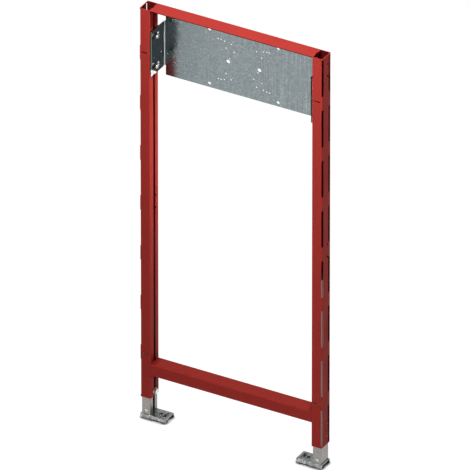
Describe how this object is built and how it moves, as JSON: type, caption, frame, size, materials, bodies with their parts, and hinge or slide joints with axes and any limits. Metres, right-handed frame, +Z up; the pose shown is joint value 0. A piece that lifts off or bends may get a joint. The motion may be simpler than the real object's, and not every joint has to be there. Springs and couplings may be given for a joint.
{
  "type": "tap installation frame",
  "caption": "Open steel frame that stands in a stud wall and holds a wall tap: red folded posts and rails, a punched galvanised plate on brackets, and telescopic legs.",
  "frame": {"origin": "middle of the frame's outline on the floor, under both feet", "axes": "+X to the right seen from the front, -Y towards the front, +Z up"},
  "size_m": [0.49, 0.0654, 1.116],
  "materials": {
    "red_powder_coat": "satin red powder coat",
    "galvanised_plate": "spangled hot-dip galvanised sheet",
    "galvanised_bracket": "smooth galvanised sheet",
    "galvanised_leg": "dull galvanised profile",
    "galvanised_foot": "galvanised pressing",
    "zinc_fastener": "bright zinc plating",
    "white_pad": "matt white sheet"
  },
  "bodies": {
    "frame": {"top_rail": "red_powder_coat", "bottom_rail": "red_powder_coat", "mounting_plate": "galvanised_plate", "left_post": "red_powder_coat", "left_bracket": "galvanised_bracket", "left_bracket_pad": "white_pad", "left_clamp_bolt": "zinc_fastener", "left_clamp_plate": "zinc_fastener", "left_lower_bracket_bolt": "zinc_fastener", "left_lower_bracket_washer": "galvanised_bracket", "left_lower_bracket_nut": "zinc_fastener", "left_upper_bracket_bolt": "zinc_fastener", "left_upper_bracket_washer": "galvanised_bracket", "left_upper_bracket_nut": "zinc_fastener", "right_post": "red_powder_coat", "right_bracket": "galvanised_bracket", "right_bracket_pad": "white_pad", "right_clamp_bolt": "zinc_fastener", "right_clamp_plate": "zinc_fastener", "right_lower_bracket_bolt": "zinc_fastener", "right_lower_bracket_washer": "galvanised_bracket", "right_lower_bracket_nut": "zinc_fastener", "right_upper_bracket_bolt": "zinc_fastener", "right_upper_bracket_washer": "galvanised_bracket", "right_upper_bracket_nut": "zinc_fastener"},
    "left_leg_unit": {"left_leg": "galvanised_leg", "left_foot": "galvanised_foot", "left_foot_screw": "zinc_fastener"},
    "right_leg_unit": {"right_leg": "galvanised_leg", "right_foot": "galvanised_foot", "right_foot_screw": "zinc_fastener"}
  },
  "joints": [
    {"name": "left_leg_slide", "type": "slide", "parent": "frame", "child": "left_leg_unit", "axis": [0, 0, -1], "range_m": [-0.041, 0.159]},
    {"name": "right_leg_slide", "type": "slide", "parent": "frame", "child": "right_leg_unit", "axis": [0, 0, -1], "range_m": [-0.041, 0.159]}
  ]
}
